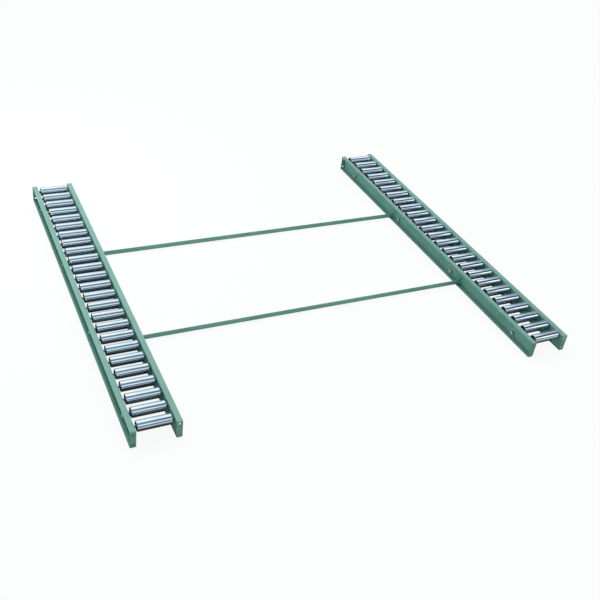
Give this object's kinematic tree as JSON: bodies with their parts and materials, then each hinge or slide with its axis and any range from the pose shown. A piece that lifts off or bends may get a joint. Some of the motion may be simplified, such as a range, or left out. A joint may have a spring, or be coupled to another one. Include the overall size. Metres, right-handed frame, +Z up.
{
  "type": "gravity roller conveyor",
  "caption": "Gravity roller conveyor: narrow parallel lanes of painted steel channel rails, with free-turning zinc-plated rollers on hexagon axles and angle crossbars tying the lanes together.",
  "frame": {"origin": "middle of the frame on the floor, under the centre of the outline", "axes": "+X across the lanes from the left lane to the right one, +Y along the lanes away from the viewer, +Z up"},
  "size_m": [2.681, 2.5, 0.1165],
  "materials": {
    "green_paint": "satin enamel",
    "zinc_plated_rollers": "bright zinc plate",
    "axle_steel": "bright drawn steel",
    "bearing_steel": "ground steel",
    "zinc_fasteners": "zinc plate"
  },
  "bodies": {
    "frame": {"left_outer_rail": "green_paint", "left_inner_rail": "green_paint", "right_inner_rail": "green_paint", "right_outer_rail": "green_paint", "butt_plates": "green_paint", "crossbars": "green_paint", "lane_spreaders": "green_paint", "roller_axles": "axle_steel", "bearing_cones": "bearing_steel", "bolts_and_nuts": "zinc_fasteners"},
    "left_roller_01": {"left_roller_01": "zinc_plated_rollers"},
    "left_roller_02": {"left_roller_02": "zinc_plated_rollers"},
    "left_roller_03": {"left_roller_03": "zinc_plated_rollers"},
    "left_roller_04": {"left_roller_04": "zinc_plated_rollers"},
    "left_roller_05": {"left_roller_05": "zinc_plated_rollers"},
    "left_roller_06": {"left_roller_06": "zinc_plated_rollers"},
    "left_roller_07": {"left_roller_07": "zinc_plated_rollers"},
    "left_roller_08": {"left_roller_08": "zinc_plated_rollers"},
    "left_roller_09": {"left_roller_09": "zinc_plated_rollers"},
    "left_roller_10": {"left_roller_10": "zinc_plated_rollers"},
    "left_roller_11": {"left_roller_11": "zinc_plated_rollers"},
    "left_roller_12": {"left_roller_12": "zinc_plated_rollers"},
    "left_roller_13": {"left_roller_13": "zinc_plated_rollers"},
    "left_roller_14": {"left_roller_14": "zinc_plated_rollers"},
    "left_roller_15": {"left_roller_15": "zinc_plated_rollers"},
    "left_roller_16": {"left_roller_16": "zinc_plated_rollers"},
    "left_roller_17": {"left_roller_17": "zinc_plated_rollers"},
    "left_roller_18": {"left_roller_18": "zinc_plated_rollers"},
    "left_roller_19": {"left_roller_19": "zinc_plated_rollers"},
    "left_roller_20": {"left_roller_20": "zinc_plated_rollers"},
    "left_roller_21": {"left_roller_21": "zinc_plated_rollers"},
    "left_roller_22": {"left_roller_22": "zinc_plated_rollers"},
    "left_roller_23": {"left_roller_23": "zinc_plated_rollers"},
    "left_roller_24": {"left_roller_24": "zinc_plated_rollers"},
    "left_roller_25": {"left_roller_25": "zinc_plated_rollers"},
    "right_roller_01": {"right_roller_01": "zinc_plated_rollers"},
    "right_roller_02": {"right_roller_02": "zinc_plated_rollers"},
    "right_roller_03": {"right_roller_03": "zinc_plated_rollers"},
    "right_roller_04": {"right_roller_04": "zinc_plated_rollers"},
    "right_roller_05": {"right_roller_05": "zinc_plated_rollers"},
    "right_roller_06": {"right_roller_06": "zinc_plated_rollers"},
    "right_roller_07": {"right_roller_07": "zinc_plated_rollers"},
    "right_roller_08": {"right_roller_08": "zinc_plated_rollers"},
    "right_roller_09": {"right_roller_09": "zinc_plated_rollers"},
    "right_roller_10": {"right_roller_10": "zinc_plated_rollers"},
    "right_roller_11": {"right_roller_11": "zinc_plated_rollers"},
    "right_roller_12": {"right_roller_12": "zinc_plated_rollers"},
    "right_roller_13": {"right_roller_13": "zinc_plated_rollers"},
    "right_roller_14": {"right_roller_14": "zinc_plated_rollers"},
    "right_roller_15": {"right_roller_15": "zinc_plated_rollers"},
    "right_roller_16": {"right_roller_16": "zinc_plated_rollers"},
    "right_roller_17": {"right_roller_17": "zinc_plated_rollers"},
    "right_roller_18": {"right_roller_18": "zinc_plated_rollers"},
    "right_roller_19": {"right_roller_19": "zinc_plated_rollers"},
    "right_roller_20": {"right_roller_20": "zinc_plated_rollers"},
    "right_roller_21": {"right_roller_21": "zinc_plated_rollers"},
    "right_roller_22": {"right_roller_22": "zinc_plated_rollers"},
    "right_roller_23": {"right_roller_23": "zinc_plated_rollers"},
    "right_roller_24": {"right_roller_24": "zinc_plated_rollers"},
    "right_roller_25": {"right_roller_25": "zinc_plated_rollers"}
  },
  "joints": [
    {"name": "left_roller_01_spin", "type": "hinge", "parent": "frame", "child": "left_roller_01", "pos_m": [-1.208, -1.2, 0.088], "axis": [1, 0, 0], "continuous": true},
    {"name": "left_roller_02_spin", "type": "hinge", "parent": "frame", "child": "left_roller_02", "pos_m": [-1.208, -1.1, 0.088], "axis": [1, 0, 0], "continuous": true},
    {"name": "left_roller_03_spin", "type": "hinge", "parent": "frame", "child": "left_roller_03", "pos_m": [-1.208, -1, 0.088], "axis": [1, 0, 0], "continuous": true},
    {"name": "left_roller_04_spin", "type": "hinge", "parent": "frame", "child": "left_roller_04", "pos_m": [-1.208, -0.9, 0.088], "axis": [1, 0, 0], "continuous": true},
    {"name": "left_roller_05_spin", "type": "hinge", "parent": "frame", "child": "left_roller_05", "pos_m": [-1.208, -0.8, 0.088], "axis": [1, 0, 0], "continuous": true},
    {"name": "left_roller_06_spin", "type": "hinge", "parent": "frame", "child": "left_roller_06", "pos_m": [-1.208, -0.7, 0.088], "axis": [1, 0, 0], "continuous": true},
    {"name": "left_roller_07_spin", "type": "hinge", "parent": "frame", "child": "left_roller_07", "pos_m": [-1.208, -0.6, 0.088], "axis": [1, 0, 0], "continuous": true},
    {"name": "left_roller_08_spin", "type": "hinge", "parent": "frame", "child": "left_roller_08", "pos_m": [-1.208, -0.5, 0.088], "axis": [1, 0, 0], "continuous": true},
    {"name": "left_roller_09_spin", "type": "hinge", "parent": "frame", "child": "left_roller_09", "pos_m": [-1.208, -0.4, 0.088], "axis": [1, 0, 0], "continuous": true},
    {"name": "left_roller_10_spin", "type": "hinge", "parent": "frame", "child": "left_roller_10", "pos_m": [-1.208, -0.3, 0.088], "axis": [1, 0, 0], "continuous": true},
    {"name": "left_roller_11_spin", "type": "hinge", "parent": "frame", "child": "left_roller_11", "pos_m": [-1.208, -0.2, 0.088], "axis": [1, 0, 0], "continuous": true},
    {"name": "left_roller_12_spin", "type": "hinge", "parent": "frame", "child": "left_roller_12", "pos_m": [-1.208, -0.1, 0.088], "axis": [1, 0, 0], "continuous": true},
    {"name": "left_roller_13_spin", "type": "hinge", "parent": "frame", "child": "left_roller_13", "pos_m": [-1.208, 0, 0.088], "axis": [1, 0, 0], "continuous": true},
    {"name": "left_roller_14_spin", "type": "hinge", "parent": "frame", "child": "left_roller_14", "pos_m": [-1.208, 0.1, 0.088], "axis": [1, 0, 0], "continuous": true},
    {"name": "left_roller_15_spin", "type": "hinge", "parent": "frame", "child": "left_roller_15", "pos_m": [-1.208, 0.2, 0.088], "axis": [1, 0, 0], "continuous": true},
    {"name": "left_roller_16_spin", "type": "hinge", "parent": "frame", "child": "left_roller_16", "pos_m": [-1.208, 0.3, 0.088], "axis": [1, 0, 0], "continuous": true},
    {"name": "left_roller_17_spin", "type": "hinge", "parent": "frame", "child": "left_roller_17", "pos_m": [-1.208, 0.4, 0.088], "axis": [1, 0, 0], "continuous": true},
    {"name": "left_roller_18_spin", "type": "hinge", "parent": "frame", "child": "left_roller_18", "pos_m": [-1.208, 0.5, 0.088], "axis": [1, 0, 0], "continuous": true},
    {"name": "left_roller_19_spin", "type": "hinge", "parent": "frame", "child": "left_roller_19", "pos_m": [-1.208, 0.6, 0.088], "axis": [1, 0, 0], "continuous": true},
    {"name": "left_roller_20_spin", "type": "hinge", "parent": "frame", "child": "left_roller_20", "pos_m": [-1.208, 0.7, 0.088], "axis": [1, 0, 0], "continuous": true},
    {"name": "left_roller_21_spin", "type": "hinge", "parent": "frame", "child": "left_roller_21", "pos_m": [-1.208, 0.8, 0.088], "axis": [1, 0, 0], "continuous": true},
    {"name": "left_roller_22_spin", "type": "hinge", "parent": "frame", "child": "left_roller_22", "pos_m": [-1.208, 0.9, 0.088], "axis": [1, 0, 0], "continuous": true},
    {"name": "left_roller_23_spin", "type": "hinge", "parent": "frame", "child": "left_roller_23", "pos_m": [-1.208, 1, 0.088], "axis": [1, 0, 0], "continuous": true},
    {"name": "left_roller_24_spin", "type": "hinge", "parent": "frame", "child": "left_roller_24", "pos_m": [-1.208, 1.1, 0.088], "axis": [1, 0, 0], "continuous": true},
    {"name": "left_roller_25_spin", "type": "hinge", "parent": "frame", "child": "left_roller_25", "pos_m": [-1.208, 1.2, 0.088], "axis": [1, 0, 0], "continuous": true},
    {"name": "right_roller_01_spin", "type": "hinge", "parent": "frame", "child": "right_roller_01", "pos_m": [1.208, -1.2, 0.088], "axis": [1, 0, 0], "continuous": true},
    {"name": "right_roller_02_spin", "type": "hinge", "parent": "frame", "child": "right_roller_02", "pos_m": [1.208, -1.1, 0.088], "axis": [1, 0, 0], "continuous": true},
    {"name": "right_roller_03_spin", "type": "hinge", "parent": "frame", "child": "right_roller_03", "pos_m": [1.208, -1, 0.088], "axis": [1, 0, 0], "continuous": true},
    {"name": "right_roller_04_spin", "type": "hinge", "parent": "frame", "child": "right_roller_04", "pos_m": [1.208, -0.9, 0.088], "axis": [1, 0, 0], "continuous": true},
    {"name": "right_roller_05_spin", "type": "hinge", "parent": "frame", "child": "right_roller_05", "pos_m": [1.208, -0.8, 0.088], "axis": [1, 0, 0], "continuous": true},
    {"name": "right_roller_06_spin", "type": "hinge", "parent": "frame", "child": "right_roller_06", "pos_m": [1.208, -0.7, 0.088], "axis": [1, 0, 0], "continuous": true},
    {"name": "right_roller_07_spin", "type": "hinge", "parent": "frame", "child": "right_roller_07", "pos_m": [1.208, -0.6, 0.088], "axis": [1, 0, 0], "continuous": true},
    {"name": "right_roller_08_spin", "type": "hinge", "parent": "frame", "child": "right_roller_08", "pos_m": [1.208, -0.5, 0.088], "axis": [1, 0, 0], "continuous": true},
    {"name": "right_roller_09_spin", "type": "hinge", "parent": "frame", "child": "right_roller_09", "pos_m": [1.208, -0.4, 0.088], "axis": [1, 0, 0], "continuous": true},
    {"name": "right_roller_10_spin", "type": "hinge", "parent": "frame", "child": "right_roller_10", "pos_m": [1.208, -0.3, 0.088], "axis": [1, 0, 0], "continuous": true},
    {"name": "right_roller_11_spin", "type": "hinge", "parent": "frame", "child": "right_roller_11", "pos_m": [1.208, -0.2, 0.088], "axis": [1, 0, 0], "continuous": true},
    {"name": "right_roller_12_spin", "type": "hinge", "parent": "frame", "child": "right_roller_12", "pos_m": [1.208, -0.1, 0.088], "axis": [1, 0, 0], "continuous": true},
    {"name": "right_roller_13_spin", "type": "hinge", "parent": "frame", "child": "right_roller_13", "pos_m": [1.208, 0, 0.088], "axis": [1, 0, 0], "continuous": true},
    {"name": "right_roller_14_spin", "type": "hinge", "parent": "frame", "child": "right_roller_14", "pos_m": [1.208, 0.1, 0.088], "axis": [1, 0, 0], "continuous": true},
    {"name": "right_roller_15_spin", "type": "hinge", "parent": "frame", "child": "right_roller_15", "pos_m": [1.208, 0.2, 0.088], "axis": [1, 0, 0], "continuous": true},
    {"name": "right_roller_16_spin", "type": "hinge", "parent": "frame", "child": "right_roller_16", "pos_m": [1.208, 0.3, 0.088], "axis": [1, 0, 0], "continuous": true},
    {"name": "right_roller_17_spin", "type": "hinge", "parent": "frame", "child": "right_roller_17", "pos_m": [1.208, 0.4, 0.088], "axis": [1, 0, 0], "continuous": true},
    {"name": "right_roller_18_spin", "type": "hinge", "parent": "frame", "child": "right_roller_18", "pos_m": [1.208, 0.5, 0.088], "axis": [1, 0, 0], "continuous": true},
    {"name": "right_roller_19_spin", "type": "hinge", "parent": "frame", "child": "right_roller_19", "pos_m": [1.208, 0.6, 0.088], "axis": [1, 0, 0], "continuous": true},
    {"name": "right_roller_20_spin", "type": "hinge", "parent": "frame", "child": "right_roller_20", "pos_m": [1.208, 0.7, 0.088], "axis": [1, 0, 0], "continuous": true},
    {"name": "right_roller_21_spin", "type": "hinge", "parent": "frame", "child": "right_roller_21", "pos_m": [1.208, 0.8, 0.088], "axis": [1, 0, 0], "continuous": true},
    {"name": "right_roller_22_spin", "type": "hinge", "parent": "frame", "child": "right_roller_22", "pos_m": [1.208, 0.9, 0.088], "axis": [1, 0, 0], "continuous": true},
    {"name": "right_roller_23_spin", "type": "hinge", "parent": "frame", "child": "right_roller_23", "pos_m": [1.208, 1, 0.088], "axis": [1, 0, 0], "continuous": true},
    {"name": "right_roller_24_spin", "type": "hinge", "parent": "frame", "child": "right_roller_24", "pos_m": [1.208, 1.1, 0.088], "axis": [1, 0, 0], "continuous": true},
    {"name": "right_roller_25_spin", "type": "hinge", "parent": "frame", "child": "right_roller_25", "pos_m": [1.208, 1.2, 0.088], "axis": [1, 0, 0], "continuous": true}
  ]
}
